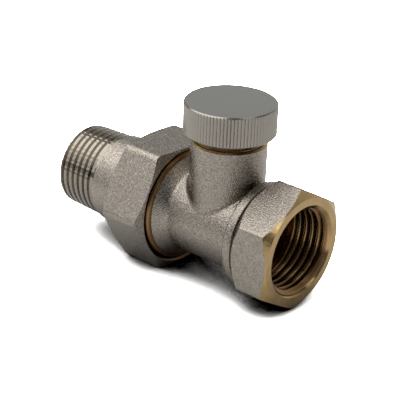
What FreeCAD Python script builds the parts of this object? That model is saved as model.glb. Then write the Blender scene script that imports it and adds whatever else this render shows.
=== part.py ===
import FreeCAD, Part
import math
import os

# A straight lockshield radiator valve with a union tail, half-inch pipe size, in millimetres.
# One brass forging carries the hexagon socket for the pipe, the run, the upright neck and the union thread.
# Under the knurled cap a spindle with a key socket screws down on the seat and shuts the flow.
# The origin is the centre of the socket's mouth. +X points out of the socket and +Z up along the spindle.
# Distances along the run are counted from the mouth, so the point at distance d lies at x = -d.
# Every thread is a plain surface: outside threads at their crests, inside threads at their roots.
# The tail's taper thread stands as a cylinder of its mean radius.

Vector = FreeCAD.Vector

# Socket end
pipe_thread_radius = 10.48
pipe_thread_depth = 11.5
mouth_flare = 0.37
mouth_depth = 0.4
socket_floor_wall = 1.5
hexagon_flats = 25.9
hexagon_length = 10.2
hexagon_corner_radius = 1.0
hexagon_face_inset = 0.35
hexagon_front_slope_deg = 30.0
hexagon_back_slope_deg = 45.0
collar_inset = 0.45

# Run, with the web that carries the seat
run_radius = 10.05
run_floor_wall = 1.55
inlet_passage_radius = 3.9
drill_point_deg = 118.0
seat_web_thickness = 2.2
seat_port_radius = 3.8
outlet_passage_radius = 3.5
outlet_floor_step = 0.2

# Neck
neck_radius = 8.78
neck_front_margin = 0.62
neck_back_margin = 0.42
neck_root_bevel = 0.8
neck_head_height = 6.46
neck_lip_height = 1.32
neck_lip_radius = 5.4
neck_shoulder_chamfer = 0.4
cap_thread_radius = 8.0
chamber_radius = 5.4
chamber_height = 8.1
spindle_bore_radius = 6.2
spindle_thread_height = 9.38

# Union end
flange_length = 2.7
flange_root_lead = 0.7
flange_root_length = 1.05
flange_root_rise = 0.4
flange_rim_inset = 0.92
union_thread_radius = 13.22
union_thread_length = 7.8
union_rim_width = 0.7
union_bore_radius = 9.2
union_bore_depth = 9.0
union_seat_deg = 30.0
union_seat_depth = 1.2

# Spindle
spindle_lift = 3.5
stem_radius = 4.2
stem_tip_radius = 3.4
stem_cone_deg = 45.0
seal_groove_radius = 4.9
seal_groove_width = 1.5
seal_land_width = 0.5
stop_gap = 0.1
key_flats = 6.0
key_depth = 6.0

# Cap
cap_radius = 10.62
cap_skirt_depth = 5.29
cap_roof_thickness = 1.98
cap_bevel = 0.45
cap_seal_thickness = 0.9
knurl_count = 84
knurl_depth = 0.3

# Union nut
nut_flat_wall = 1.28
nut_length = 12.6
nut_front_lap = 0.2
nut_corner_radius = 1.8
nut_face_inset = 0.3
nut_front_slope_deg = 25.0
nut_back_inset = 1.9
nut_back_slope_deg = 24.0
nut_back_wall = 2.6
nut_turn_deg = 2.0

# Tail piece
tail_reach = 25.55
tail_thread_radius = 10.25
tail_thread_length = 12.6
tail_thread_end_chamfer = 0.8
tail_shank_radius = 10.8
tail_collar_gap = 0.35
tail_nose_length = 1.0
tail_bore_radius = 7.0
key_lug_width = 3.0
key_lug_rise = 1.2
key_lug_length = 10.0
key_lug_setback = 1.2

# Clearances
thread_clearance = 0.06
running_clearance = 0.08
seat_clearance = 0.05
face_clearance = 0.05
seal_clearance = 0.03
shank_clearance = 0.15

# How far a cutting shape stands out of what it cuts
overshoot = 1.0

# Worked-out places along the run
collar_start = hexagon_length
collar_end = pipe_thread_depth + socket_floor_wall
neck_distance = collar_end + neck_front_margin + neck_radius
run_end = neck_distance + neck_radius + neck_back_margin
flange_rim = run_end + flange_length
union_thread_start = flange_rim + union_rim_width
union_face = flange_rim + union_thread_length
union_bore_end = union_face - union_bore_depth
union_seat_start = union_face - union_seat_depth
nut_front = union_thread_start - nut_front_lap
nut_back = nut_front + nut_length
nut_wall_start = nut_back - nut_back_wall
tail_collar_front = union_face + face_clearance
tail_collar_back = nut_wall_start - face_clearance
tail_end = tail_collar_front + tail_reach

# Worked-out heights, stacked up from the floor of the inlet passage
inlet_passage_height = run_floor_wall + inlet_passage_radius - run_radius
seat_floor = inlet_passage_height + inlet_passage_radius + seat_web_thickness
outlet_passage_height = seat_floor + outlet_floor_step + outlet_passage_radius
chamber_top = seat_floor + chamber_height
spindle_thread_top = chamber_top + spindle_thread_height
groove_bottom = spindle_thread_top + seal_land_width
groove_top = groove_bottom + seal_groove_width
spindle_top = groove_top + seal_land_width
neck_lip_bottom = spindle_top + spindle_lift + stop_gap
neck_top = neck_lip_bottom + neck_lip_height
neck_height = neck_top - neck_head_height
neck_shoulder = neck_height + neck_shoulder_chamfer
cap_ceiling = neck_top + face_clearance + cap_seal_thickness
cap_bottom = cap_ceiling - cap_skirt_depth
cap_top = cap_ceiling + cap_roof_thickness

# Worked-out widths
nut_flats = 2 * (union_thread_radius + nut_flat_wall)

# Worked-out radii
collar_radius = hexagon_flats / 2 - collar_inset
flange_rim_radius = union_thread_radius - flange_rim_inset
spindle_radius = spindle_bore_radius - running_clearance
neck_x = -neck_distance

RUN_AXIS = Vector(1, 0, 0)
NECK_AXIS = Vector(0, 0, 1)
NECK_CENTRE = Vector(neck_x, 0, 0)
ORIGIN = Vector(0, 0, 0)


def closed(points):
    return Part.makePolygon(points + points[:1])


def outward(solid):
    if solid.Volume < 0:
        solid.reverse()
    return solid


def turned_on_run(corners):
    # The corners are (distance, radius) pairs.
    profile = closed([Vector(-distance, 0, radius) for distance, radius in corners])
    return outward(Part.Face(profile).revolve(ORIGIN, RUN_AXIS, 360))


def turned_on_neck(corners):
    # The corners are (height, radius) pairs.
    profile = closed([Vector(neck_x + radius, 0, height) for height, radius in corners])
    return outward(Part.Face(profile).revolve(NECK_CENTRE, NECK_AXIS, 360))


def hexagon_corners(flats, first_corner_deg):
    reach = flats / math.sqrt(3)
    angles = [math.radians(first_corner_deg + 60 * i) for i in range(6)]
    return [(reach * math.cos(angle), reach * math.sin(angle)) for angle in angles]


def hexagon_on_run(flats, corner_radius, start, end, first_corner_deg):
    # A hexagon bar between two distances along the run, with its long edges rounded.
    corners = hexagon_corners(flats, first_corner_deg)
    base = closed([Vector(-end, across, up) for across, up in corners])
    bar = outward(Part.Face(base).extrude(Vector(end - start, 0, 0)))
    long_edges = [edge for edge in bar.Edges if edge.BoundBox.XLength > (end - start) / 2]
    return bar.makeFillet(corner_radius, long_edges)


def rod_on_run(radius, start, end, height=0.0):
    return Part.makeCylinder(radius, end - start, Vector(-end, 0, height), RUN_AXIS)


def rod_on_neck(radius, bottom, top):
    return Part.makeCylinder(radius, top - bottom, Vector(neck_x, 0, bottom), NECK_AXIS)


def turned_down(bar, flats, start, end, front, back):
    # Each end of a hexagon bar is turned down to a radius at a slope, given as (radius, slope in degrees).
    tip = flats / math.sqrt(3)
    front_radius, front_deg = front
    back_radius, back_deg = back
    envelope = turned_on_run([
        (start, 0),
        (start, front_radius),
        (start + (tip - front_radius) * math.tan(math.radians(front_deg)), tip),
        (end - (tip - back_radius) * math.tan(math.radians(back_deg)), tip),
        (end, back_radius),
        (end, 0),
    ])
    return bar.common(envelope)


def socket_hexagon():
    bar = hexagon_on_run(hexagon_flats, hexagon_corner_radius, 0, hexagon_length, 90)
    front = (hexagon_flats / 2 - hexagon_face_inset, hexagon_front_slope_deg)
    back = (collar_radius, hexagon_back_slope_deg)
    return turned_down(bar, hexagon_flats, 0, hexagon_length, front, back)


def forged_tee():
    # The run and the neck meet in a saddle line, which the forging bevels off.
    run = rod_on_run(run_radius, collar_start, flange_rim)
    neck = rod_on_neck(neck_radius, 0, neck_height)
    tee = run.fuse(neck).removeSplitter()
    saddle = []
    for edge in tee.Edges:
        points = edge.discretize(9)
        on_both = all(
            abs(math.hypot(point.x - neck_x, point.y) - neck_radius) < 1e-3
            and abs(math.hypot(point.y, point.z) - run_radius) < 1e-3
            for point in points
        )
        if on_both:
            saddle.append(edge)
    return tee.makeChamfer(neck_root_bevel, saddle)


def union_end():
    # The flange swells out of the run in two slopes and ends in the turned edge of the union thread.
    root_start = run_end - flange_root_lead
    return turned_on_run([
        (root_start, 0),
        (root_start, run_radius),
        (root_start + flange_root_length, run_radius + flange_root_rise),
        (flange_rim, flange_rim_radius),
        (union_thread_start, union_thread_radius),
        (union_face, union_thread_radius),
        (union_face, 0),
    ])


def neck_head():
    # The turned shoulder and the cap's thread above the forged neck.
    return turned_on_neck([
        (neck_height, 0),
        (neck_height, neck_radius),
        (neck_shoulder, neck_radius - neck_shoulder_chamfer),
        (neck_shoulder, cap_thread_radius),
        (neck_top, cap_thread_radius),
        (neck_top, 0),
    ])


def inlet_passage():
    # A drilled hole, low in the run, that ends in the drill's point under the seat port.
    point_depth = inlet_passage_radius / math.tan(math.radians(drill_point_deg / 2))
    rod = rod_on_run(inlet_passage_radius, pipe_thread_depth - overshoot, neck_distance, inlet_passage_height)
    point = Part.makeCone(
        inlet_passage_radius, 0, point_depth, Vector(neck_x, 0, inlet_passage_height), Vector(-1, 0, 0)
    )
    return rod.fuse(point)


def neck_bores():
    # The chamber over the seat and the spindle's bore, whose top is rolled in over the spindle as its stop.
    return turned_on_neck([
        (seat_floor, 0),
        (seat_floor, chamber_radius),
        (chamber_top, chamber_radius),
        (chamber_top, spindle_bore_radius),
        (neck_lip_bottom, spindle_bore_radius),
        (neck_lip_bottom, neck_lip_radius),
        (neck_top + overshoot, neck_lip_radius),
        (neck_top + overshoot, 0),
    ])


def pipe_socket():
    return turned_on_run([
        (-overshoot, 0),
        (-overshoot, pipe_thread_radius + mouth_flare),
        (0, pipe_thread_radius + mouth_flare),
        (mouth_depth, pipe_thread_radius),
        (pipe_thread_depth, pipe_thread_radius),
        (pipe_thread_depth, 0),
    ])


def union_seat_radius(distance):
    # The union's bore opens in a cone, on which the tail's nose seals metal to metal.
    return union_bore_radius + (distance - union_seat_start) * math.tan(math.radians(union_seat_deg))


def union_bore():
    return turned_on_run([
        (union_bore_end, 0),
        (union_bore_end, union_bore_radius),
        (union_seat_start, union_bore_radius),
        (union_face + overshoot, union_seat_radius(union_face + overshoot)),
        (union_face + overshoot, 0),
    ])


def flow_passages():
    # Water comes in low, rises through the seat port into the chamber under the spindle, and leaves high.
    port = rod_on_neck(seat_port_radius, inlet_passage_height, seat_floor + overshoot)
    outlet_end = union_bore_end + overshoot
    outlet = rod_on_run(outlet_passage_radius, neck_distance, outlet_end, outlet_passage_height)
    return [pipe_socket(), inlet_passage(), port, neck_bores(), outlet, union_bore()]


def valve_body():
    collar = rod_on_run(collar_radius, collar_start, collar_end)
    outside = forged_tee().fuse([union_end(), neck_head(), collar, socket_hexagon()]).removeSplitter()
    return outside.cut(flow_passages()).removeSplitter()


def regulating_spindle():
    # The stem's cone closes the seat port; above it come the thread, the seal's groove and the key socket.
    cone_slope = math.tan(math.radians(stem_cone_deg))
    cone_on_port = seat_floor + seat_clearance
    turned = turned_on_neck([
        (cone_on_port - (seat_port_radius - stem_tip_radius) / cone_slope, 0),
        (cone_on_port - (seat_port_radius - stem_tip_radius) / cone_slope, stem_tip_radius),
        (cone_on_port + (stem_radius - seat_port_radius) / cone_slope, stem_radius),
        (chamber_top + face_clearance, stem_radius),
        (chamber_top + face_clearance, spindle_radius),
        (groove_bottom, spindle_radius),
        (groove_bottom, seal_groove_radius),
        (groove_top, seal_groove_radius),
        (groove_top, spindle_radius),
        (spindle_top, spindle_radius),
        (spindle_top, 0),
    ])
    key_corners = hexagon_corners(key_flats, 0)
    key_bottom = spindle_top - key_depth
    key_base = closed([Vector(neck_x + along, across, key_bottom) for along, across in key_corners])
    return turned.cut(Part.Face(key_base).extrude(Vector(0, 0, key_depth + overshoot)))


def spindle_seal():
    outer = spindle_bore_radius - seal_clearance
    ring = rod_on_neck(outer, groove_bottom + seal_clearance, groove_top - seal_clearance)
    return ring.cut(rod_on_neck(seal_groove_radius + seal_clearance, groove_bottom, groove_top))


def knurl_points(share, height):
    # A ring of sharp crests and roots in turn, at a share of the cap's radius.
    points = []
    for i in range(2 * knurl_count):
        radius = (cap_radius - knurl_depth * (i % 2)) * share
        angle = math.pi * i / knurl_count
        points.append(Vector(neck_x + radius * math.cos(angle), radius * math.sin(angle), height))
    return points


def knurled_bar():
    # Straight flutes, drawn in at both ends by the cap's bevels.
    end_share = 1 - cap_bevel / cap_radius
    levels = [
        knurl_points(end_share, cap_bottom),
        knurl_points(1, cap_bottom + cap_bevel),
        knurl_points(1, cap_top - cap_bevel),
        knurl_points(end_share, cap_top),
    ]
    faces = [Part.Face(closed(levels[0])), Part.Face(closed(levels[-1]))]
    for lower, upper in zip(levels, levels[1:]):
        for i in range(len(lower)):
            faces.append(Part.Face(closed([lower[i - 1], lower[i], upper[i], upper[i - 1]])))
    return outward(Part.Solid(Part.Shell(faces)))


def cap():
    bore = rod_on_neck(cap_thread_radius + thread_clearance, cap_bottom - overshoot, cap_ceiling)
    return knurled_bar().cut(bore)


def cap_seal():
    return rod_on_neck(cap_thread_radius, cap_ceiling - cap_seal_thickness, cap_ceiling)


def union_nut():
    bar = hexagon_on_run(nut_flats, nut_corner_radius, nut_front, nut_back, nut_turn_deg)
    front = (nut_flats / 2 - nut_face_inset, nut_front_slope_deg)
    back = (nut_flats / 2 - nut_back_inset, nut_back_slope_deg)
    nut = turned_down(bar, nut_flats, nut_front, nut_back, front, back)
    thread_bore = rod_on_run(union_thread_radius + thread_clearance, nut_front - overshoot, nut_wall_start)
    hole_radius = tail_shank_radius + shank_clearance
    shank_hole = rod_on_run(hole_radius, nut_wall_start - overshoot, nut_back + overshoot)
    return nut.cut([thread_bore, shank_hole])


def tail_piece():
    nose_front = tail_collar_front - tail_nose_length
    nose_gap = seat_clearance / math.cos(math.radians(union_seat_deg))
    collar_radius = union_thread_radius - tail_collar_gap
    thread_start = tail_end - tail_thread_length
    outside = turned_on_run([
        (nose_front, 0),
        (nose_front, union_seat_radius(nose_front) - nose_gap),
        (tail_collar_front, union_seat_radius(tail_collar_front) - nose_gap),
        (tail_collar_front, collar_radius),
        (tail_collar_back, collar_radius),
        (tail_collar_back, tail_shank_radius),
        (thread_start, tail_shank_radius),
        (thread_start, tail_thread_radius),
        (tail_end - tail_thread_end_chamfer, tail_thread_radius),
        (tail_end, tail_thread_radius - tail_thread_end_chamfer),
        (tail_end, 0),
    ])
    bore = rod_on_run(tail_bore_radius, nose_front - overshoot, tail_end + overshoot)
    return outside.cut(bore.cut(key_lugs()))


def key_lugs():
    # Two lugs in the tail's bore take the stepped key that screws it into a radiator.
    end = tail_end - key_lug_setback
    corner = Vector(-end, -key_lug_width / 2, -tail_bore_radius)
    bar = Part.makeBox(key_lug_length, key_lug_width, 2 * tail_bore_radius, corner)
    return bar.cut(rod_on_run(tail_bore_radius - key_lug_rise, end - key_lug_length, end))


pieces = {
    "valve_body": valve_body(),
    "regulating_spindle": regulating_spindle(),
    "spindle_seal": spindle_seal(),
    "cap": cap(),
    "cap_seal": cap_seal(),
    "union_nut": union_nut(),
    "tail_piece": tail_piece(),
}

os.makedirs("parts", exist_ok=True)
for name, shape in pieces.items():
    print(name, "solids", len(shape.Solids), "faces", len(shape.Faces), "valid", shape.isValid(),
          "volume", round(shape.Volume, 1))
    shape.exportStep("parts/" + name + ".step")
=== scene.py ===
import math

import bmesh
import bpy
from mathutils import Matrix, Vector


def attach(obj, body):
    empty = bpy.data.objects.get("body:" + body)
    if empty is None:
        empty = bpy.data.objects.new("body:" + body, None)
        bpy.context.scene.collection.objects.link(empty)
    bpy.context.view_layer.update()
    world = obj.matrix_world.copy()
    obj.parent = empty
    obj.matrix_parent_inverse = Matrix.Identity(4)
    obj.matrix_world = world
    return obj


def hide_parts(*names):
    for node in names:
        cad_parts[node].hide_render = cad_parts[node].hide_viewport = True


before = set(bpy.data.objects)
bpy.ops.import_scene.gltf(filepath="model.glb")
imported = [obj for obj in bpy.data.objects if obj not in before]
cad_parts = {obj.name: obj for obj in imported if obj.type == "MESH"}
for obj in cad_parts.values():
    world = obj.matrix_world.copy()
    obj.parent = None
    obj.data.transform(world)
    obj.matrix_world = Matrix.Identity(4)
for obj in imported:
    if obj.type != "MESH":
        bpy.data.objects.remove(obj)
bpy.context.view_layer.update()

mm = 0.001
neckX = -22.4  # the neck's axis, in mm
# What is made along +Z goes along the run, away from the socket, or stays upright on the neck's axis.
onRun = Matrix(((0, 0, -1), (1, 0, 0), (0, -1, 0))).to_4x4()
onNeck = Matrix.Translation((neckX * mm, 0, 0))
neckFrom = 0.01  # m, an open ring whose middle is higher than this lies on the neck
hair = 0.01  # mm, how far off its place or radius a point may lie where faces are cut away
faceSpare = 0.004  # mm, the same where a point is matched to a round face of the CAD copy
endSpare = 0.001  # how far beyond the end of such a face the point may lie, as a share of its length
sameWay = 0.93  # how far a face of the CAD copy may turn from the round face it was cut from, as a cosine
weld = {"thread": 2e-7, "piece": 5e-7, "cadCopy": 2e-6}  # m


class Wire:
    # A socket of a node tree that adds, multiplies and compares like a number.
    def __init__(self, tree, socket=None):
        self.tree = tree
        self.socket = socket

    def node(self, kind, settings=None, values=None, output=0):
        made = self.tree.nodes.new(kind)
        for name, value in (settings or {}).items():
            if name == "stops":
                while len(made.color_ramp.elements) < len(value):
                    made.color_ramp.elements.new(0.5)
                for stop, (place, colour) in zip(made.color_ramp.elements, value):
                    stop.position = place
                    stop.color = (*colour, 1)
            else:
                setattr(made, name, value)
        for name, value in (values or {}).items():
            if isinstance(value, Wire):
                self.tree.links.new(value.socket, made.inputs[name])
            else:
                made.inputs[name].default_value = value
        return Wire(self.tree, made.outputs[output] if made.outputs else None)

    def maths(self, operation, *terms):
        return self.node("ShaderNodeMath", {"operation": operation}, dict(enumerate(terms)))

    def __add__(self, other):
        return self.maths("ADD", self, other)

    __radd__ = __add__

    def __sub__(self, other):
        return self.maths("SUBTRACT", self, other)

    def __rsub__(self, other):
        return self.maths("SUBTRACT", other, self)

    def __mul__(self, other):
        return self.maths("MULTIPLY", self, other)

    __rmul__ = __mul__

    def __truediv__(self, other):
        return self.maths("DIVIDE", self, other)

    def __rtruediv__(self, other):
        return self.maths("DIVIDE", other, self)

    def __pow__(self, other):
        return self.maths("POWER", self, other)

    def lower(self, other):
        return self.maths("MINIMUM", self, other)

    def higher(self, other):
        return self.maths("MAXIMUM", self, other)

    def size(self):
        return self.maths("ABSOLUTE", self)

    def cosine(self):
        return self.maths("COSINE", self)

    def sine(self):
        return self.maths("SINE", self)

    def fraction(self):
        return self.maths("FRACT", self)

    def within(self, low, high):
        return self.higher(low).lower(high)

    def above(self, edge, soft):
        # 0 below the edge, 1 above it, with a short slope of the width soft
        return ((self - edge) / soft + 0.5).within(0, 1)

    def below(self, edge, soft):
        return 1 - self.above(edge, soft)

    def reach(self, other):
        # the length of the two as the sides of a right angle
        return (self * self + other * other) ** 0.5

    def mixed(self, plain, other):
        # a colour between two, by this wire
        return self.node("ShaderNodeMix", {"data_type": "RGBA"}, {0: self, 6: plain, 7: other}, 2)


def newTree(name, inputs, hasGeometry=False):
    # A Geometry Nodes tree with named inputs; returns it, its inputs as wires, and the node that ends it.
    tree = bpy.data.node_groups.new(name, "GeometryNodeTree")
    tree.is_modifier = True
    if hasGeometry:
        tree.interface.new_socket("Geometry", in_out="INPUT", socket_type="NodeSocketGeometry")
    kinds = {float: "NodeSocketFloat", int: "NodeSocketInt"}
    for label, value in inputs.items():
        socket = tree.interface.new_socket(label, in_out="INPUT", socket_type=kinds[type(value)])
        socket.default_value = value
    tree.interface.new_socket("Finish", in_out="INPUT", socket_type="NodeSocketMaterial")
    tree.interface.new_socket("Geometry", in_out="OUTPUT", socket_type="NodeSocketGeometry")
    given = tree.nodes.new("NodeGroupInput")
    wires = {socket.name: Wire(tree, socket) for socket in given.outputs if socket.name}
    return tree, wires, tree.nodes.new("NodeGroupOutput")


def endTree(geometry, wires, ending):
    real = geometry.node("GeometryNodeRealizeInstances", None, {"Geometry": geometry})
    dressed = real.node("GeometryNodeSetMaterial", None, {"Geometry": real, "Material": wires["Finish"]})
    geometry.tree.links.new(dressed.socket, ending.inputs[0])


def grown(tree, values, finish, base=None):
    # Runs a tree as a modifier, on a base mesh or on none, and returns the plain mesh that comes out.
    mesh = base or bpy.data.meshes.new(tree.name)
    holder = bpy.data.objects.new(tree.name, mesh)
    bpy.context.scene.collection.objects.link(holder)
    modifier = holder.modifiers.new(tree.name, "NODES")
    modifier.node_group = tree
    for item in tree.interface.items_tree:
        if item.in_out == "INPUT" and item.name in values:
            modifier[item.identifier] = values[item.name]
        if item.name == "Finish":
            modifier[item.identifier] = finish
    bpy.context.view_layer.update()
    depsgraph = bpy.context.evaluated_depsgraph_get()
    made = bpy.data.meshes.new_from_object(holder.evaluated_get(depsgraph), depsgraph=depsgraph)
    bpy.data.objects.remove(holder)
    return made


def threadTree(name, inside):
    # One screw thread, from its start at height 0 upwards.
    # Its rows of points follow the helix, so the crests are true lines.
    nickShare, nickedCrest = 0.35, 0.9  # how wide a nick is, and from which share of the depth up it cuts
    tree, wires, ending = newTree(name, {
        "Columns": 200, "Rows": 97, "Turns": 8.0,
        "Start radius": 0.01, "End radius": 0.01, "Length": 0.01,
        "Pitch": 0.0018, "Depth": 0.001, "Crest share": 0.17, "Root share": 0.17,
        "Fade in": 0.001, "Fade out": 0.001, "Bevel radius": 0.009, "Bevel slope": 1.0,
        "Nicks": 0.0, "Nick depth": 0.0,
    })
    start = Wire(tree)
    grid = start.node("GeometryNodeMeshGrid", None, {
        "Size X": 1.0, "Size Y": 1.0, "Vertices X": wires["Columns"] + 1, "Vertices Y": wires["Rows"]})
    place = start.node("GeometryNodeInputPosition")
    across = place.node("ShaderNodeSeparateXYZ", None, {0: place}, 0) + 0.5
    along = place.node("ShaderNodeSeparateXYZ", None, {0: place}, 1) + 0.5
    pitch = wires["Pitch"]
    height = (pitch * (along * wires["Turns"] + across - 1)).within(0, wires["Length"])
    phase = (height / pitch - across + 8).fraction()  # whole turns are added, so that it starts above 0
    ridge = (phase - 0.5).size() * 2
    profile = ((ridge - wires["Root share"]) / (1 - wires["Crest share"] - wires["Root share"])).within(0, 1)
    fromEnd = wires["Length"] - height
    fade = (height / wires["Fade in"]).within(0, 1)
    if inside:
        fade = fade * (fromEnd / wires["Fade out"]).within(0, 1)
    radius = wires["Start radius"] + (wires["End radius"] - wires["Start radius"]) * height / wires["Length"]
    radius = radius - wires["Depth"] * fade * (1 - profile)
    if inside:
        radius = radius.higher(wires["Bevel radius"] - wires["Bevel slope"] * height)
    else:
        teeth = (across * wires["Nicks"]).fraction()
        isNick = teeth.maths("LESS_THAN", teeth, nickShare)
        isCrest = profile.maths("GREATER_THAN", profile, nickedCrest)
        radius = radius - isNick * isCrest * fade * wires["Nick depth"]
        radius = radius.lower(wires["Bevel radius"] + wires["Bevel slope"] * fromEnd)
    angle = across * math.tau
    spot = radius.node("ShaderNodeCombineXYZ", None, {
        0: radius * angle.cosine(), 1: radius * angle.sine(), 2: height})
    bent = grid.node("GeometryNodeSetPosition", None, {"Geometry": grid, "Position": spot})
    if inside:
        bent = bent.node("GeometryNodeFlipFaces", None, {"Mesh": bent})
    welded = bent.node("GeometryNodeMergeByDistance", None, {"Geometry": bent, "Distance": weld["thread"]})
    endTree(welded, wires, ending)
    return tree


def fluteTree():
    # Straight flutes cut into whatever turned mesh comes in: no point stays outside the fluted outline.
    tree, wires, ending = newTree("fluteTree", {
        "Radius": 0.01, "Depth": 0.0003, "Flutes": 84.0, "Crest share": 0.4, "Root share": 0.15,
    }, True)
    place = Wire(tree).node("GeometryNodeInputPosition")
    x, y, z = (place.node("ShaderNodeSeparateXYZ", None, {0: place}, i) for i in range(3))
    radius = x.reach(y)
    angle = y.maths("ARCTAN2", y, x)
    around = angle * wires["Flutes"] / math.tau + 1000  # whole flutes are added, so that it starts above 0
    ridge = (around.fraction() - 0.5).size() * 2
    profile = ((ridge - wires["Root share"]) / (1 - wires["Crest share"] - wires["Root share"])).within(0, 1)
    outline = wires["Radius"] - wires["Depth"] * (1 - profile)
    share = radius.lower(outline) / radius.higher(1e-6)
    spot = x.node("ShaderNodeCombineXYZ", None, {0: x * share, 1: y * share, 2: z})
    cut = spot.node("GeometryNodeSetPosition", None, {"Geometry": wires["Geometry"], "Position": spot})
    endTree(cut, wires, ending)
    return tree


def turned(profile, columns):
    # A mesh turned about +Z from (height, radius) pairs in mm, listed upwards for an outside.
    bm = bmesh.new()
    rings = []
    for height, radius in profile:
        ring = []
        for i in range(1 if radius == 0 else columns):
            angle = math.tau * i / columns
            spot = Vector((radius * math.cos(angle), radius * math.sin(angle), height)) * mm
            ring.append(bm.verts.new(spot))
        rings.append(ring)
    for lower, upper in zip(rings, rings[1:]):
        for i in range(columns):
            below = [lower[i - 1], lower[i]] if len(lower) > 1 else lower
            above = [upper[i], upper[i - 1]] if len(upper) > 1 else upper
            bm.faces.new(below + above)
    mesh = bpy.data.meshes.new("turned")
    bm.to_mesh(mesh)
    bm.free()
    return mesh


def openLoops(bm):
    # The open edges of a mesh, as lists of the edges round each hole.
    left = {edge for edge in bm.edges if edge.is_boundary}
    loops = []
    while left:
        chain = [left.pop()]
        ends = list(chain[0].verts)
        while ends:
            for edge in ends.pop().link_edges:
                if edge in left:
                    left.remove(edge)
                    chain.append(edge)
                    ends.extend(edge.verts)
        loops.append(chain)
    return loops


def loopPlace(loop):
    spots = [vert.co for edge in loop for vert in edge.verts]
    middle = sum(spots, Vector()) / len(spots)
    return middle, sum((spot - middle).length for spot in spots) / len(spots)


def zipped(bm, loops, aroundNeck):
    # Joins two rings of points with triangles, always at the nearer next point round the axis.
    def angle(vert):
        if aroundNeck:
            return math.atan2(vert.co.y, vert.co.x - neckX * mm)
        return math.atan2(vert.co.z, vert.co.y)

    one, two = (sorted({vert for edge in loop for vert in edge.verts}, key=angle) for loop in loops)
    onOne = onTwo = 0
    while onOne < len(one) or onTwo < len(two):
        here, there = one[onOne % len(one)], two[onTwo % len(two)]
        next1, next2 = one[(onOne + 1) % len(one)], two[(onTwo + 1) % len(two)]
        far1 = angle(next1) + math.tau * ((onOne + 1) // len(one))
        far2 = angle(next2) + math.tau * ((onTwo + 1) // len(two))
        if onTwo == len(two) or (onOne < len(one) and far1 <= far2):
            bm.faces.new((here, next1, there))
            onOne += 1
        else:
            bm.faces.new((here, next2, there))
            onTwo += 1


def bridged(bm):
    # Joins each open loop to its nearest one, until no hole is left.
    loops = openLoops(bm)
    while len(loops) > 1:
        loop = loops.pop()
        middle, radius = loopPlace(loop)
        gaps = []
        for other in loops:
            otherMiddle, otherRadius = loopPlace(other)
            gaps.append((otherMiddle - middle).length + abs(otherRadius - radius))
        nearest = loops.pop(gaps.index(min(gaps)))
        zipped(bm, (loop, nearest), middle.z > neckFrom)


def addMesh(bm, mesh, matrix):
    # Adds a mesh whose faces get material number 0, so that they keep the normals that Blender gives them.
    mesh.transform(matrix)
    mesh.polygons.foreach_set("material_index", [0] * len(mesh.polygons))
    bm.from_mesh(mesh)


def fromRun(spot):
    return math.hypot(spot.y, spot.z) / mm


def fromNeck(spot):
    return math.hypot(spot.x / mm - neckX, spot.y / mm)


def placeAndRadius(spot, aroundNeck):
    # How far along the run or up the neck a point lies, and how far from that axis, in mm.
    if aroundNeck:
        return spot.z / mm, fromNeck(spot)
    return -spot.x / mm, fromRun(spot)


def turnedFace(aroundNeck, start, end, startTilt=None, endTilt=None):
    # A face turned about the neck or the run between two (place, radius) pairs in mm.
    # What it returns gives the true outward direction at a point of that face, and None off it.
    tilt = math.atan2(start[1] - end[1], end[0] - start[0])
    startTilt = tilt if startTilt is None else math.radians(startTilt)
    endTilt = tilt if endTilt is None else math.radians(endTilt)

    def direction(spot):
        place, radius = placeAndRadius(spot, aroundNeck)
        share = (place - start[0]) / (end[0] - start[0])
        expected = start[1] + (end[1] - start[1]) * share
        if not -endSpare < share < 1 + endSpare or abs(expected - radius) > faceSpare:
            return None
        lean = startTilt + (endTilt - startTilt) * share
        if aroundNeck:
            outward, axis = Vector((spot.x - neckX * mm, spot.y, 0)), Vector((0, 0, 1))
        else:
            outward, axis = Vector((0, spot.y, spot.z)), Vector((-1, 0, 0))
        return outward.normalized() * math.cos(lean) + axis * math.sin(lean)

    return direction


def alongRun(y, z, radius):
    # The same for a round face whose axis lies along the run, but not on it.
    def direction(spot):
        outward = Vector((0, spot.y - y * mm, spot.z - z * mm))
        return outward.normalized() if abs(outward.length / mm - radius) < faceSpare else None

    return direction


def hexagonEdges(flats, radius, firstDeg):
    # The rounded long edges of a hexagon bar.
    reach = (flats / 2 - radius) / math.cos(math.radians(30))
    angles = [math.radians(firstDeg + 60 * i) for i in range(6)]
    return [alongRun(reach * math.cos(angle), reach * math.sin(angle), radius) for angle in angles]


def trueNormals(mesh, surfaces):
    # The normals at the corners of a mesh. A triangle of a CAD copy takes those of its round face.
    normals = [corner.vector.copy() for corner in mesh.corner_normals]
    for face in mesh.polygons:
        if face.material_index != 1:
            continue
        spots = [mesh.vertices[i].co for i in face.vertices]
        given = [face.normal.copy() for spot in spots]
        for surface in surfaces:
            found = [surface(spot) for spot in spots]
            if None not in found:
                middle = sum(found, Vector()).normalized()
                if abs(middle.dot(face.normal)) > sameWay:
                    given = [way if middle.dot(face.normal) > 0 else -way for way in found]
                    break
        for i, way in zip(face.loop_indices, given):
            normals[i] = way
    return normals


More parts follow.
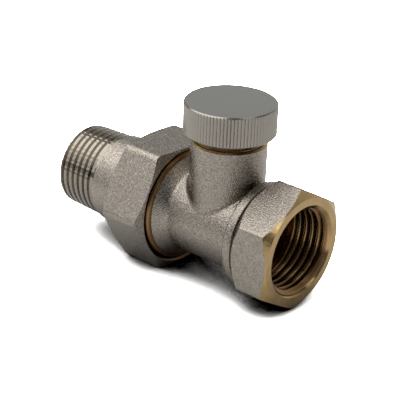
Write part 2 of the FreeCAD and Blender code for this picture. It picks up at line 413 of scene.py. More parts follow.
def piece(name, bm, body, node, finish, sharpDeg, surfaces=()):
    # Makes a finished piece of a bmesh, on its body and in place of its node.
    # Its faces point outwards, and it is smooth but for its sharp edges.
    bmesh.ops.remove_doubles(bm, verts=bm.verts, dist=weld["piece"])
    bmesh.ops.recalc_face_normals(bm, faces=bm.faces)
    openEdges = sum(edge.is_boundary for edge in bm.edges)
    mesh = bpy.data.meshes.new(name)
    bm.to_mesh(mesh)
    bm.free()
    mesh.polygons.foreach_set("use_smooth", [True] * len(mesh.polygons))
    mesh.set_sharp_from_angle(angle=math.radians(sharpDeg))
    if surfaces:
        mesh.normals_split_custom_set(trueNormals(mesh, surfaces))
    mesh.polygons.foreach_set("material_index", [0] * len(mesh.polygons))
    mesh.materials.clear()
    mesh.materials.append(finish)
    made = bpy.data.objects.new(name, mesh)
    bpy.context.scene.collection.objects.link(made)
    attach(made, body)
    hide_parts(node)
    triangles = sum(len(face.vertices) - 2 for face in mesh.polygons)
    print(name, "has", triangles, "triangles and", openEdges, "open edges")


def copied(node):
    # A bmesh copy of a CAD node, with its loose triangles welded and its faces given material number 1.
    bm = bmesh.new()
    bm.from_mesh(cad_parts[node].data)
    bmesh.ops.remove_doubles(bm, verts=bm.verts, dist=weld["cadCopy"])
    for face in bm.faces:
        face.material_index = 1
    return bm


def between(aroundNeck, start, end):
    # A test for the points that lie between two (place, radius) pairs in mm, or a hair beyond.
    def test(spot):
        place, radius = placeAndRadius(spot, aroundNeck)
        return start[0] - hair < place < end[0] + hair and start[1] - hair < radius < end[1] + hair

    return test


def cutAway(bm, test):
    # Deletes the faces whose corners all pass the test, and says how many they were.
    gone = [face for face in bm.faces if all(test(vert.co) for vert in face.verts)]
    bmesh.ops.delete(bm, geom=gone, context="FACES")
    return len(gone)


def pulledIn(bm, aroundNeck, corner, radius):
    # Moves the points at a (place, radius) pair to a smaller radius.
    atCorner = between(aroundNeck, corner, corner)
    for vert in bm.verts:
        if atCorner(vert.co) and aroundNeck:
            share = radius / fromNeck(vert.co)
            vert.co.x = neckX * mm + (vert.co.x - neckX * mm) * share
            vert.co.y *= share
        elif atCorner(vert.co):
            share = radius / fromRun(vert.co)
            vert.co.y *= share
            vert.co.z *= share


rowsPerTurn = 12
insideThread = threadTree("insideThread", True)
outsideThread = threadTree("outsideThread", False)


def addThread(bm, sizes, tree, finish, matrix):
    turns = math.ceil(sizes["length"] / sizes["pitch"]) + 1
    mesh = grown(tree, {
        "Columns": sizes["columns"], "Rows": turns * rowsPerTurn + 1, "Turns": float(turns),
        "Start radius": sizes["radius"] * mm, "End radius": sizes["endRadius"] * mm,
        "Length": sizes["length"] * mm, "Pitch": sizes["pitch"] * mm, "Depth": sizes["depth"] * mm,
        "Crest share": sizes.get("crestShare", 1 / 6), "Root share": sizes.get("rootShare", 1 / 6),
        "Fade in": sizes["fadeIn"] * mm, "Fade out": sizes["fadeOut"] * mm,
        "Bevel radius": sizes["bevelRadius"] * mm, "Bevel slope": sizes["bevelSlope"],
        "Nicks": float(sizes.get("nicks", 0)), "Nick depth": sizes.get("nickDepth", 0) * mm,
    }, finish)
    addMesh(bm, mesh, matrix @ Matrix.Translation((0, 0, sizes["start"] * mm)))


# Finishes that several pieces share. Sizes and heights are in mm.

nickel = {
    "dark": (0.176, 0.156, 0.133, 1), "pale": (0.478, 0.426, 0.365, 1),
    "grain": 0.33, "grainRoughness": 0.65, "grainTone": 2.1, "grainGloss": 0.1, "grainHeight": 0.135,
    "patches": 2.4, "patchTone": 0.25, "patchGloss": 0.06, "waves": 1.1, "waveHeight": 0.03,
    "roughness": 0.25, "leastRoughness": 0.12, "mostRoughness": 0.5,
}
brass = {
    "dark": (0.34, 0.228, 0.10, 1), "pale": (0.52, 0.37, 0.185, 1),
    "marksTone": 0.6, "marksGloss": 0.1, "marksHeight": 0.006,
    "patches": 3.0, "patchTone": 1.2, "patchGloss": 0.16,
    "roughness": 0.2, "leastRoughness": 0.08, "mostRoughness": 0.5,
}
# Dark brown for painted shade on the brass in hollows: deep in the socket, on the union thread next to the
# nut and on the cap thread under the cap.
paintedBrassShade = (0.19, 0.098, 0.04, 1)


def emptied(holder):
    # The node tree of a material or a world, cleared, as the start of a wire.
    holder.use_nodes = True
    holder.node_tree.nodes.clear()
    return Wire(holder.node_tree)


def newMaterial(name):
    # A new material, the place on the piece as a vector, and its x, y and z in mm.
    material = bpy.data.materials.new(name)
    place = emptied(material).node("ShaderNodeTexCoord", output="Object")
    x, y, z = (place.node("ShaderNodeSeparateXYZ", None, {0: place}, i) / mm for i in range(3))
    return material, place, x, y, z


def noise(place, size, detail=2.0, roughness=0.5):
    # A soft random pattern whose patches are about size mm across.
    return place.node("ShaderNodeTexNoise", None, {
        "Vector": place, "Scale": 1 / (size * mm), "Detail": detail, "Roughness": roughness})


def rings(radius, size):
    # Turning marks: a random pattern of one number, the distance from the axis or along it in mm.
    return radius.node("ShaderNodeTexNoise", {"noise_dimensions": "1D"}, {
        "W": radius, "Scale": 1 / size, "Detail": 2.0, "Roughness": 0.6})


def dress(material, colour, roughness, height, metallic=1.0):
    # Ends a material. The height is in mm.
    start = Wire(material.node_tree)
    bump = start.node("ShaderNodeBump", None, {"Height": height, "Distance": mm, "Strength": 1.0})
    shader = start.node("ShaderNodeBsdfPrincipled", None, {
        "Base Color": colour, "Roughness": roughness, "Metallic": metallic, "Normal": bump})
    start.node("ShaderNodeOutputMaterial", None, {"Surface": shader})


def blastedNickel(place):
    # The colour, roughness and height of sand-blasted plating.
    grain = noise(place, nickel["grain"], roughness=nickel["grainRoughness"])
    patches = noise(place, nickel["patches"], roughness=0.6)
    tone = (grain - 0.5) * nickel["grainTone"] + (patches - 0.5) * nickel["patchTone"] + 0.5
    colour = tone.within(0, 1).mixed(nickel["dark"], nickel["pale"])
    gloss = (patches - 0.5) * nickel["patchGloss"] + (grain - 0.5) * nickel["grainGloss"]
    roughness = (gloss + nickel["roughness"]).within(nickel["leastRoughness"], nickel["mostRoughness"])
    height = grain * nickel["grainHeight"] + noise(place, nickel["waves"]) * nickel["waveHeight"]
    return colour, roughness, height


def cutBrass(place, marks):
    # The colour, roughness and height of brass fresh from the lathe, with its turning marks.
    patches = noise(place, brass["patches"], detail=3.0, roughness=0.6)
    tone = (marks - 0.5) * brass["marksTone"] + (patches - 0.5) * brass["patchTone"] + 0.5
    colour = tone.within(0, 1).mixed(brass["dark"], brass["pale"])
    gloss = (patches - 0.5) * brass["patchGloss"] + (marks - 0.5) * brass["marksGloss"]
    roughness = (gloss + brass["roughness"]).within(brass["leastRoughness"], brass["mostRoughness"])
    return colour, roughness, marks * brass["marksHeight"]


# The forged body

# All in mm. A turned face lies between two (place, radius) pairs: places on the run are counted from
# the socket's mouth, and those on the neck upwards from the run's axis.
# A zone is where a finish begins or ends and how wide the change is. Its places on the run are x,
# which is 0 at the mouth and falls along the run.
forging = {
    "run": ((13.0, 10.05), (30.9, 10.05)),
    "flangeRoot": ((30.9, 10.05), (31.95, 10.45)),
    "flangeSlope": ((31.95, 10.45), (34.3, 12.3)),
    "rim": ((34.3, 12.3), (35.0, 13.22)),
    "collar": ((10.2, 12.5), (13.0, 12.5)),
    "hexagonFront": ((0, 12.65), (1.33, 14.953)),
    "hexagonBack": ((7.747, 14.953), (10.2, 12.5)),
    "socketWall": ((0, 10.48), (11.5, 10.85)),
    "unionWall": ((35.0, 13.22), (42.1, 13.22)),
    "unionBore": ((33.1, 9.2), (40.9, 9.2)),
    "unionSeat": ((40.9, 9.2), (42.1, 9.893)),
    "neck": ((0, 8.78), (19.94, 8.78)),
    "neckShoulder": ((19.94, 8.78), (20.34, 8.38)),
    "capWall": ((20.34, 8.0), (26.4, 8.0)),
    "chamber": ((1.5, 5.4), (9.6, 5.4)),
    "spindleBore": ((9.6, 6.2), (25.08, 6.2)),
    "neckLip": ((25.08, 5.4), (26.4, 5.4)),
    "seatPort": ((-4.6, 3.8), (1.5, 3.8)),
    "inletHeight": -4.6, "inletRadius": 3.9, "outletHeight": 5.2, "outletRadius": 3.5,
    "flangeRootTiltDeg": -29.5, "flangeSlopeTiltDeg": -40, "saddleReach": 1.2,
    "hexagonFlats": 25.9, "hexagonCorner": 1.0, "hexagonTurnDeg": 90, "sharpDeg": 38,
    "roundedColumns": 160,
    "roundedCollar": ((10.22, 12.46), (10.32, 12.25), (10.42, 12.2), (10.52, 12.25), (10.64, 12.45),
                      (10.75, 12.5), (12.45, 12.5), (12.68, 12.46), (12.87, 12.35), (12.98, 12.16)),
    "roundedRim": ((34.31, 12.31), (34.36, 12.55), (34.46, 12.78), (34.6, 12.97), (34.78, 13.11),
                   (35.0, 13.18)),
    "collarPulledTo": 12.1, "unionPulledTo": 11.95, "neckPulledTo": 7.3,
    "socketThread": {
        "start": 0.03, "length": 11.44, "radius": 10.48, "endRadius": 10.48, "pitch": 1.814, "depth": 1.16,
        "fadeIn": 0.05, "fadeOut": 2.0, "bevelRadius": 10.82, "bevelSlope": 1.0, "columns": 160},
    "unionThread": {
        "start": 35.03, "length": 7.04, "radius": 13.22, "endRadius": 13.22, "pitch": 1.814, "depth": 1.1,
        "fadeIn": 1.2, "fadeOut": 0.01, "bevelRadius": 12.5, "bevelSlope": 1.0, "columns": 160},
    "capThread": {
        "start": 20.37, "length": 6.0, "radius": 8.0, "endRadius": 8.0, "pitch": 1.0, "depth": 0.6,
        "fadeIn": 0.8, "fadeOut": 0.01, "bevelRadius": 7.55, "bevelSlope": 1.0, "columns": 120},
    "zones": {
        "faceRadius": 12.65, "faceSlopeDeg": 30, "face": (-0.06, 0.04),
        "socket": (10.95, 0.04), "socketMouth": (-0.7, 0.3), "socketEnd": (-11.9, 0.1),
        "socketCrests": (9.5, 0.08),
        "union": (-34.28, 0.04), "unionRoots": (-35.5, 0.1), "neckTop": (19.96, 0.03),
        "lipStart": (20.3, 0.1), "lip": (7.0, 0.1),
        "bores": (9.4, 0.05), "neckBore": (6.6, 0.05), "neckBoreStart": (0, 0.1),
        "grooveStart": (-10.2, 0.04), "grooveEnd": (-10.68, 0.06), "groove": (12.47, 0.04),
        "edgeStart": (-12.72, 0.06), "edgeEnd": (-13.05, 0.02), "edge": (12.0, 0.05),
    },
    # How far the brass is darkened by painted shade and made rougher: deep in the socket, on the union
    # thread next to the nut and on the cap thread under the cap. Also how much less of it there is on the
    # socket thread's crests.
    "dullAndPaintedShade": {"socket": 0.85, "socketCrests": 0.4, "union": 0.8, "lip": 0.75},
    # The crease colour is painted shade, for the collar's groove beside the hexagon and the collar's rounded
    # left edge.
    "paintedCreaseShade": (0.08, 0.07, 0.058, 1), "marks": 0.09, "marksSlope": 0.7,
    "socketGloss": 0.06, "dullGloss": 0.14,
}


def forgingMaterial():
    # Plating with a grain, and bare brass where the forging was cut afterwards. Painted shade darkens the
    # brass in its hollows, the collar's groove and the collar's left edge.
    material, place, x, y, z = newMaterial("platedForging")
    zones, dullAndShadeShares = forging["zones"], forging["dullAndPaintedShade"]
    radius = y.reach(z)
    neckRadius = (x - neckX).reach(y)
    faceSlope = math.tan(math.radians(zones["faceSlopeDeg"]))
    face = (x + (radius - zones["faceRadius"]).higher(0) * faceSlope).above(*zones["face"])
    socket = radius.below(*zones["socket"]) * x.above(*zones["socketEnd"])
    union = x.below(*zones["union"])
    neck = z.above(*zones["neckTop"])
    neckBore = neckRadius.below(*zones["neckBore"]) * z.above(*zones["neckBoreStart"])
    inside = radius.below(*zones["bores"]).higher(neckBore)
    isBrass = face.higher(socket).higher(union).higher(neck).higher(inside)
    # Painted shade, with rougher brass: deep in the socket and less on its thread's crests, on the union
    # thread next to the nut, and on the cap thread under the cap.
    socketDullAndShade = dullAndShadeShares["socket"] - radius.below(*zones["socketCrests"]) * dullAndShadeShares["socketCrests"]
    socketDullAndShade = socket * x.below(*zones["socketMouth"]) * socketDullAndShade
    unionDullAndShade = union * x.above(*zones["unionRoots"]) * dullAndShadeShares["union"]
    lipDullAndShade = z.above(*zones["lipStart"]) * neckRadius.above(*zones["lip"]) * dullAndShadeShares["lip"]
    dullAndPaintedShade = socketDullAndShade.higher(unionDullAndShade).higher(lipDullAndShade)
    # Painted shade: the crease colour darkens the collar's groove beside the hexagon and the collar's
    # rounded left edge.
    groove = x.above(*zones["grooveEnd"]) * x.below(*zones["grooveStart"]) * radius.below(*zones["groove"])
    edge = x.below(*zones["edgeStart"]) * x.above(*zones["edgeEnd"]) * radius.above(*zones["edge"])
    plateColour, plateRough, plateHeight = blastedNickel(place)
    plateColour = groove.higher(edge).mixed(plateColour, forging["paintedCreaseShade"])
    marks = rings(radius + x * forging["marksSlope"], forging["marks"])
    brassColour, brassRough, brassHeight = cutBrass(place, marks)
    brassColour = dullAndPaintedShade.mixed(brassColour, paintedBrassShade)
    brassRough = brassRough - socket * forging["socketGloss"] + dullAndPaintedShade * forging["dullGloss"]
    colour = isBrass.mixed(plateColour, brassColour)
    roughness = plateRough + (brassRough - plateRough) * isBrass
    height = plateHeight + (brassHeight - plateHeight) * isBrass
    dress(material, colour, roughness, height)
    return material


def saddleDirection(spot):
    # The bevel between the neck and the run, whose direction swings from the one's to the other's.
    offNeck, offRun = fromNeck(spot) - forging["neck"][0][1], fromRun(spot) - forging["run"][0][1]
    if spot.z < 0 or min(offNeck, offRun) < -hair or max(offNeck, offRun) > forging["saddleReach"]:
        return None
    share = offNeck / max(offNeck + offRun, 1e-6)
    fromAxis = Vector((spot.x - neckX * mm, spot.y, 0)).normalized()
    return (fromAxis * (1 - share) + Vector((0, spot.y, spot.z)).normalized() * share).normalized()


forgingFaces = [
    turnedFace(False, *forging["run"]),
    turnedFace(False, *forging["flangeRoot"], 0, forging["flangeRootTiltDeg"]),  # hollow: its tilt swings
    turnedFace(False, *forging["flangeSlope"], forging["flangeRootTiltDeg"], forging["flangeSlopeTiltDeg"]),
]
forgingFaces += [turnedFace(False, *forging[name]) for name in (
    "rim", "collar", "hexagonFront", "hexagonBack", "unionBore", "unionSeat")]
forgingFaces += [turnedFace(True, *forging[name]) for name in (
    "neck", "neckShoulder", "chamber", "spindleBore", "neckLip", "seatPort")]
forgingFaces += [
    alongRun(0, forging["inletHeight"], forging["inletRadius"]),
    alongRun(0, forging["outletHeight"], forging["outletRadius"]),
    *hexagonEdges(forging["hexagonFlats"], forging["hexagonCorner"], forging["hexagonTurnDeg"]),
    saddleDirection,
]


def makeForging():
    finish = forgingMaterial()
    bm = copied("valve_body")
    socketCut, unionCut, rimCut, collarCut = (
        cutAway(bm, between(False, *forging[name])) for name in ("socketWall", "unionWall", "rim", "collar"))
    capCut = cutAway(bm, between(True, *forging["capWall"]))
    print("faces of the threads cut away:", socketCut, unionCut, capCut)
    print("faces of the rim and the collar cut away:", rimCut, collarCut)
    pulledIn(bm, False, forging["collar"][1], forging["collarPulledTo"])
    pulledIn(bm, False, forging["unionWall"][1], forging["unionPulledTo"])
    pulledIn(bm, True, forging["capWall"][1], forging["neckPulledTo"])
    addThread(bm, forging["socketThread"], insideThread, finish, onRun)
    addThread(bm, forging["unionThread"], outsideThread, finish, onRun)
    addThread(bm, forging["capThread"], outsideThread, finish, onNeck)
    addMesh(bm, turned(forging["roundedRim"], forging["roundedColumns"]), onRun)
    addMesh(bm, turned(forging["roundedCollar"], forging["roundedColumns"]), onRun)
    bridged(bm)
    sharpDeg = forging["sharpDeg"]
    piece("valveBody", bm, "valve", "valve_body", finish, sharpDeg, forgingFaces)


# The tail

tail = {  # in mm, with (place, radius) pairs and zones as for the forging
    "outline": ((55.1, 10.8), (44.75, 10.8), (44.75, 12.87), (42.15, 12.87), (42.15, 9.87), (41.15, 9.29),
                (41.15, 7.0), (67.7, 7.0), (67.7, 8.7)),
    "thread": {
        "start": 55.13, "length": 12.57, "radius": 10.44, "endRadius": 10.05, "pitch": 1.814, "depth": 0.85,
        "fadeIn": 2.2, "fadeOut": 0.01, "bevelRadius": 9.35, "bevelSlope": 1.0, "columns": 224,
        "crestShare": 0.5, "rootShare": 0.08, "nicks": 56, "nickDepth": 0.05},
    "lugX": -61.5, "lugHeight": 6.5, "lugSize": (10, 3, 1.4), "lugBevel": 0.2, "sharpDeg": 38,
    "zones": {
        "bright": (-55.15, 0.05), "nose": (-46, 0.1), "bore": (9.4, 0.1), "taper": 0.031,
        "root": (0.8, 0.25), "rootStart": (-55.5, 0.3), "rootEnd": (-67.4, 0.1), "rootRadius": (8.8, 0.05),
    },
    "marks": 0.07, "marksSlope": 0.5, "marksGloss": 0.08, "marksHeight": 0.004, "roughness": 0.17,
    # The root colour is painted shade for the thread's roots.
    "dark": (0.235, 0.21, 0.176, 1), "pale": (0.32, 0.289, 0.243, 1), "paintedRootShadeColour": (0.17, 0.145, 0.116, 1),
}


def tailMaterial():
    # Blasted plating on the shank, and bright plating on the thread, the nose and the bore, with painted
    # shade in the thread's roots.
    material, place, x, y, z = newMaterial("platedTail")
    zones = tail["zones"]
    radius = y.reach(z)
    colour, rough, height = blastedNickel(place)
    bright = x.below(*zones["bright"]).higher(radius.below(*zones["bore"])).higher(x.above(*zones["nose"]))
    marks = rings(x + radius * tail["marksSlope"], tail["marks"])
    # Painted shade: the thread's roots are darkened to stand for the shadow lines between the crests.
    crest = (x + tail["thread"]["start"]) * zones["taper"] + tail["thread"]["radius"]
    root = (crest - radius).above(*zones["root"]) * radius.above(*zones["rootRadius"])
    root = root * x.below(*zones["rootStart"]) * x.above(*zones["rootEnd"])
    brightColour = root.mixed(marks.mixed(tail["dark"], tail["pale"]), tail["paintedRootShadeColour"])
    brightRough = (marks - 0.5) * tail["marksGloss"] + tail["roughness"]
    dress(
        material,
        bright.mixed(colour, brightColour),
        rough + (brightRough - rough) * bright,
        height + (marks * tail["marksHeight"] - height) * bright,
    )
    return material


def makeTail():
    finish = tailMaterial()
    bm = bmesh.new()
    addMesh(bm, turned(tail["outline"], tail["thread"]["columns"]), onRun)
    addThread(bm, tail["thread"], outsideThread, finish, onRun)
    bridged(bm)
    bmesh.ops.remove_doubles(bm, verts=bm.verts, dist=weld["piece"])
    bmesh.ops.recalc_face_normals(bm, faces=bm.faces)
    for side in (-1, 1):  # the lugs for the stepped key
        place = Matrix.Translation((tail["lugX"] * mm, 0, side * tail["lugHeight"] * mm))
        lug = bmesh.ops.create_cube(bm, size=mm, matrix=place @ Matrix.Diagonal((*tail["lugSize"], 1)))
        edges = list({edge for vert in lug["verts"] for edge in vert.link_edges})
        bmesh.ops.bevel(bm, geom=edges, offset=tail["lugBevel"] * mm, segments=2, affect="EDGES")
    piece("tailPiece", bm, "tail", "tail_piece", finish, tail["sharpDeg"])


# The union nut

nut = {  # in mm, with (place, radius) pairs and zones as for the forging
    "front": ((34.8, 14.2), (35.986, 16.743)),
    "back": ((45.555, 16.743), (47.4, 12.6)),
    "bore": ((34.8, 13.28), (44.8, 13.28)),
    "frontRing": ((34.8, 13.28), (34.8, 14.2)),
    "shankHole": ((44.8, 10.95), (47.4, 10.95)),
    "flats": 29.0, "corner": 1.8, "turnDeg": 2, "sharpDeg": 30,
    "leadIn": ((34.81, 14.17), (35.7, 13.29), (44.79, 13.28)), "columns": 160,
    "zones": {"inside": (14.17, 0.04), "insideEnd": (-45, 0.1), "smooth": (13.9, 0.1)},
    # The inside colour is cut brass, darkened by painted shade inside the nut.
    "insideBrassAndShade": (0.1, 0.058, 0.024, 1), "smoothGloss": 0.06, "smoothed": 0.8,
}


def nutMaterial():
    material, place, x, y, z = newMaterial("platedNut")
    zones = nut["zones"]
    radius = y.reach(z)
    colour, rough, height = blastedNickel(place)
    inside = radius.below(*zones["inside"]) * x.above(*zones["insideEnd"])  # the cut lead-in and bore: cut brass, darkened by painted shade
    smooth = radius.below(*zones["smooth"]).higher(inside)
    colour = inside.mixed(colour, nut["insideBrassAndShade"])
    dress(material, colour, rough - smooth * nut["smoothGloss"], height * (1 - smooth * nut["smoothed"]))
    return material


nutFaces = [turnedFace(False, *nut[name]) for name in ("front", "back", "bore", "shankHole")]
nutFaces += hexagonEdges(nut["flats"], nut["corner"], nut["turnDeg"])


def makeNut():
    bm = copied("union_nut")
    bore = cutAway(bm, between(False, *nut["bore"])) + cutAway(bm, between(False, *nut["frontRing"]))
    print("faces of the nut's bore cut away:", bore)
    addMesh(bm, turned(nut["leadIn"], nut["columns"]), onRun)
    bridged(bm)
    piece("unionNut", bm, "nut", "union_nut", nutMaterial(), nut["sharpDeg"], nutFaces)


# The protective cap

cap = {  # in mm
    "radius": 10.62, "bottom": 22.06, "top": 29.33, "bevel": 0.32, "bevelSteps": 6, "sharpDeg": 30,
    "bore": 8.06, "boreBevel": 0.3, "ceiling": 27.37, "topZone": (29.31, 0.01),
    "topRingInset": 0.4, "topRings": (0.6, 0.25),  # rings of points on the flat top, these as shares of it
    "flutes": 84, "fluteDepth": 0.18, "crestShare": 0.5, "rootShare": 0.1, "columnsPerFlute": 10,
    "sideDark": (0.265, 0.243, 0.213, 1), "sidePale": (0.34, 0.313, 0.276, 1),
    "topDark": (0.355, 0.355, 0.332, 1), "topPale": (0.415, 0.415, 0.388, 1),
    "patches": 3.5, "patchTone": 0.3, "patchGloss": 0.04,
    "marks": 0.12, "marksSlope": 0.8, "marksTone": 0.25, "marksGloss": 0.06, "marksHeight": 0.004,
    "grain": 0.3, "grainHeight": 0.006,
    "roughness": 0.22, "topRoughness": 0.08, "leastRoughness": 0.12, "mostRoughness": 0.5,
}


def capMaterial():
    material, place, x, y, z = newMaterial("platedKnurl")
    radius = (x - neckX).reach(y)
    patches = noise(place, cap["patches"], detail=3.0, roughness=0.6)
    marks = rings(radius + z * cap["marksSlope"], cap["marks"])
    tone = (patches - 0.5) * cap["patchTone"] + (marks - 0.5) * cap["marksTone"] + 0.5
    top = z.above(*cap["topZone"])
    colour = tone.within(0, 1).mixed(
        top.mixed(cap["sideDark"], cap["topDark"]), top.mixed(cap["sidePale"], cap["topPale"]))
    gloss = (patches - 0.5) * cap["patchGloss"] + (marks - 0.5) * cap["marksGloss"]
    roughness = gloss + top * cap["topRoughness"] + cap["roughness"]
    roughness = roughness.within(cap["leastRoughness"], cap["mostRoughness"])
    height = marks * cap["marksHeight"] + noise(place, cap["grain"]) * cap["grainHeight"]
    dress(material, colour, roughness, height)
    return material


def makeCap():
    finish = capMaterial()
    r, low, high, bevel, bore = (cap[key] for key in ("radius", "bottom", "top", "bevel", "bore"))
    steps = [bevel * i / cap["bevelSteps"] for i in range(cap["bevelSteps"] + 1)]
    profile = [(cap["ceiling"], 0), (cap["ceiling"], bore)]
    profile += [(low + cap["boreBevel"], bore), (low, bore + cap["boreBevel"])]
    profile += [(low + step, r - bevel + step) for step in steps]
    profile += [(high - bevel + step, r - step) for step in steps]
    profile += [(high, r - bevel - cap["topRingInset"])] + [(high, r * share) for share in cap["topRings"]]
    profile += [(high, 0)]
    bar = turned(profile, cap["flutes"] * cap["columnsPerFlute"])
    fluted = grown(fluteTree(), {
        "Radius": r * mm, "Depth": cap["fluteDepth"] * mm, "Flutes": float(cap["flutes"]),
        "Crest share": cap["crestShare"], "Root share": cap["rootShare"],
    }, finish, bar)
    bm = bmesh.new()
    addMesh(bm, fluted, onNeck)
    piece("protectiveCap", bm, "cap_turning", "cap", finish, cap["sharpDeg"])


# The spindle and the seals keep their CAD meshes

spindle = {"marks": 0.1, "marksSlope": 0.7}  # in mm
rubber = {"dark": (0.018, 0.018, 0.018, 1), "pale": (0.035, 0.034, 0.032, 1),
          "grain": 0.2, "grainHeight": 0.02, "grainGloss": 0.2, "roughness": 0.55}


def spindleMaterial():
    material, place, x, y, z = newMaterial("turnedBrass")
    marks = rings((x - neckX).reach(y) + z * spindle["marksSlope"], spindle["marks"])
    dress(material, *cutBrass(place, marks))
    return material


def rubberMaterial():
    material, place, x, y, z = newMaterial("sealRubber")
    grain = noise(place, rubber["grain"], detail=3.0)
    colour = grain.mixed(rubber["dark"], rubber["pale"])
    roughness = (grain - 0.5) * rubber["grainGloss"] + rubber["roughness"]
    dress(material, colour, roughness, grain * rubber["grainHeight"], metallic=0.0)
    return material


def dressInside():
    turnedBrass, sealRubber = spindleMaterial(), rubberMaterial()
    insides = {"regulating_spindle": turnedBrass, "spindle_seal": sealRubber, "cap_seal": sealRubber}
    for node, finish in insides.items():
        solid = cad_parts[node]
        solid.data.materials.clear()
        solid.data.materials.append(finish)


makeForging()
makeTail()
makeNut()
makeCap()
dressInside()
print("pieces made and dressed")

# The studio. Its camera and the floor's height are in mm and degrees, all else is in m and W.

studio = {
    "floorZ": -14.8, "azimuth": 40.56, "elevation": 25.41, "distance": 329.7, "roll": 2.36,
    "target": (-30, 0, 0), "lens": 127.18, "sensor": 36, "shiftX": -0.0016, "shiftY": 0.0247,
    "clipStart": 0.01, "clipEnd": 20,  # m
}


def makeCamera():
    azimuth, elevation, roll = (math.radians(studio[key]) for key in ("azimuth", "elevation", "roll"))
    forward = math.cos(elevation)
    back = Vector((math.sin(azimuth) * forward, -math.cos(azimuth) * forward, math.sin(elevation)))
    right = Vector((math.cos(azimuth), math.sin(azimuth), 0))
    up = back.cross(right)
    rightRolled = right * math.cos(roll) + up * math.sin(roll)
    upRolled = up * math.cos(roll) - right * math.sin(roll)
    data = bpy.data.cameras.new("camera")
    data.lens = studio["lens"]
    data.sensor_width = studio["sensor"]
    data.shift_x = studio["shiftX"]
    data.shift_y = studio["shiftY"]
    data.clip_start = studio["clipStart"]
    data.clip_end = studio["clipEnd"]
    camera = bpy.data.objects.new("camera", data)
    bpy.context.scene.collection.objects.link(camera)
    place = Matrix.Translation((Vector(studio["target"]) + back * studio["distance"]) * mm)
    camera.matrix_world = place @ Matrix((rightRolled, upRolled, back)).transposed().to_4x4()
    bpy.context.scene.camera = camera


def sheet(name, corners, material):
    # A flat piece of the studio.
    mesh = bpy.data.meshes.new(name)
    mesh.from_pydata(corners, [], [(0, 1, 2, 3)])
    mesh.materials.append(material)
    made = bpy.data.objects.new(name, mesh)
    bpy.context.scene.collection.objects.link(made)
    return made


# The paper throws a middling light back on the valve. The camera and the metal see it white, but for the
# valve's shadow, which fades where the paper lies open within the reach of the occlusion.
paper = {"reach": 3.0, "bounce": (0.7, 0.7, 0.7, 1), "occlusion": 0.03, "samples": 16,
         "white": 16.0, "openness": 1.45, "shade": 0.39, "mirroredWhite": 1.08}


def makeFloor():
    material = bpy.data.materials.new("paper")
    start = emptied(material)
    toCamera, toGloss, toGlass = (
        start.node("ShaderNodeLightPath", None, None, name)
        for name in ("Is Camera Ray", "Is Glossy Ray", "Is Transmission Ray"))
    seen = toCamera.higher(toGloss).higher(toGlass)
    plain = start.node("ShaderNodeBsdfDiffuse", None, {"Color": paper["bounce"]})
    clear = start.node(
        "ShaderNodeAmbientOcclusion", {"samples": paper["samples"]}, {"Distance": paper["occlusion"]}, "AO")
    toneSeen = (clear * paper["openness"] - paper["shade"]).within(0, 1) * paper["white"]
    tone = toCamera * toneSeen + clear * paper["mirroredWhite"] * (1 - toCamera)
    shown = start.node("ShaderNodeBsdfDiffuse", None, {"Color": tone})
    blend = start.node("ShaderNodeMixShader", None, {0: seen, 1: plain, 2: shown})
    start.node("ShaderNodeOutputMaterial", None, {"Surface": blend})
    reach, z = paper["reach"], studio["floorZ"] * mm
    corners = [(-reach, -reach, z), (reach, -reach, z), (reach, reach, z), (-reach, reach, z)]
    floor = sheet("floor", corners, material)


darkCard = {"x": 0.35, "near": -0.2, "far": 0.25, "height": 0.06, "colour": (0.06, 0.045, 0.03, 1)}


def makeCard():
    # A dark card low at the right, which the bright threads mirror.
    material = bpy.data.materials.new("darkCard")
    start = emptied(material)
    felt = start.node("ShaderNodeBsdfDiffuse", None, {"Color": darkCard["colour"]})
    start.node("ShaderNodeOutputMaterial", None, {"Surface": felt})
    x, near, far, low = darkCard["x"], darkCard["near"], darkCard["far"], studio["floorZ"] * mm
    high = low + darkCard["height"]
    card = sheet("darkCard", [(x, near, low), (x, far, low), (x, far, high), (x, near, high)], material)
    card.visible_camera = False


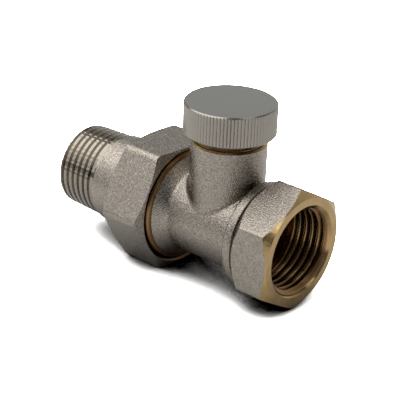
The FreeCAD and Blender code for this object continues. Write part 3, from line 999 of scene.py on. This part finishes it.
lamps = {
    "window": {"from": (-0.42, -0.25, 0.87), "distance": 0.7, "width": 0.95, "height": 0.7, "power": 4.9},
    "fill": {"from": (-0.65, -0.65, 0.38), "distance": 0.9, "width": 0.6, "height": 0.42, "power": 0.9},
    "side": {"from": (0.56, 0.1, 0.8), "distance": 0.9, "width": 0.4, "height": 0.35, "power": 0.42},
    "low": {"from": (0.97, 0.13, 0.18), "distance": 0.9, "width": 0.32, "height": 0.14, "power": 0.3},
}
lampAim = (-0.03, 0, 0)  # the point that every lamp faces and is that far from
# Each stop is how high the eye looks, and how bright it is there. The back of the room is the brighter half.
sky = {"stops": ((0.0, 0.9), (0.25, 0.72), (0.5, 0.48), (0.8, 0.26), (1.0, 0.22)), "blue": 0.98,
       "strength": 0.47, "towardsBack": 0.47}


def makeLights():
    for name, lamp in lamps.items():
        data = bpy.data.lights.new(name, "AREA")
        data.shape = "RECTANGLE"
        data.size = lamp["width"]
        data.size_y = lamp["height"]
        data.energy = lamp["power"]
        made = bpy.data.objects.new(name, data)
        made.visible_camera = False
        bpy.context.scene.collection.objects.link(made)
        direction = Vector(lamp["from"]).normalized()
        made.location = Vector(lampAim) + direction * lamp["distance"]
        made.rotation_mode = "QUATERNION"
        made.rotation_quaternion = direction.to_track_quat("Z", "Y")


def makeSky():
    world = bpy.data.worlds.new("studio")
    bpy.context.scene.world = world
    way = emptied(world).node("ShaderNodeTexCoord", output="Generated")
    toBack, height = (way.node("ShaderNodeSeparateXYZ", None, {0: way}, i) for i in (1, 2))
    stops = [(place, (grey, grey, grey * sky["blue"])) for place, grey in sky["stops"]]
    tone = height.node("ShaderNodeValToRGB", {"stops": stops}, {"Fac": height})
    strength = toBack * sky["towardsBack"] + sky["strength"]
    light = tone.node("ShaderNodeBackground", None, {"Color": tone, "Strength": strength})
    light.node("ShaderNodeOutputWorld", None, {"Surface": light})


makeCamera()
makeFloor()
makeCard()
makeLights()
makeSky()
bpy.context.scene.view_settings.view_transform = "Standard"
print("studio made")
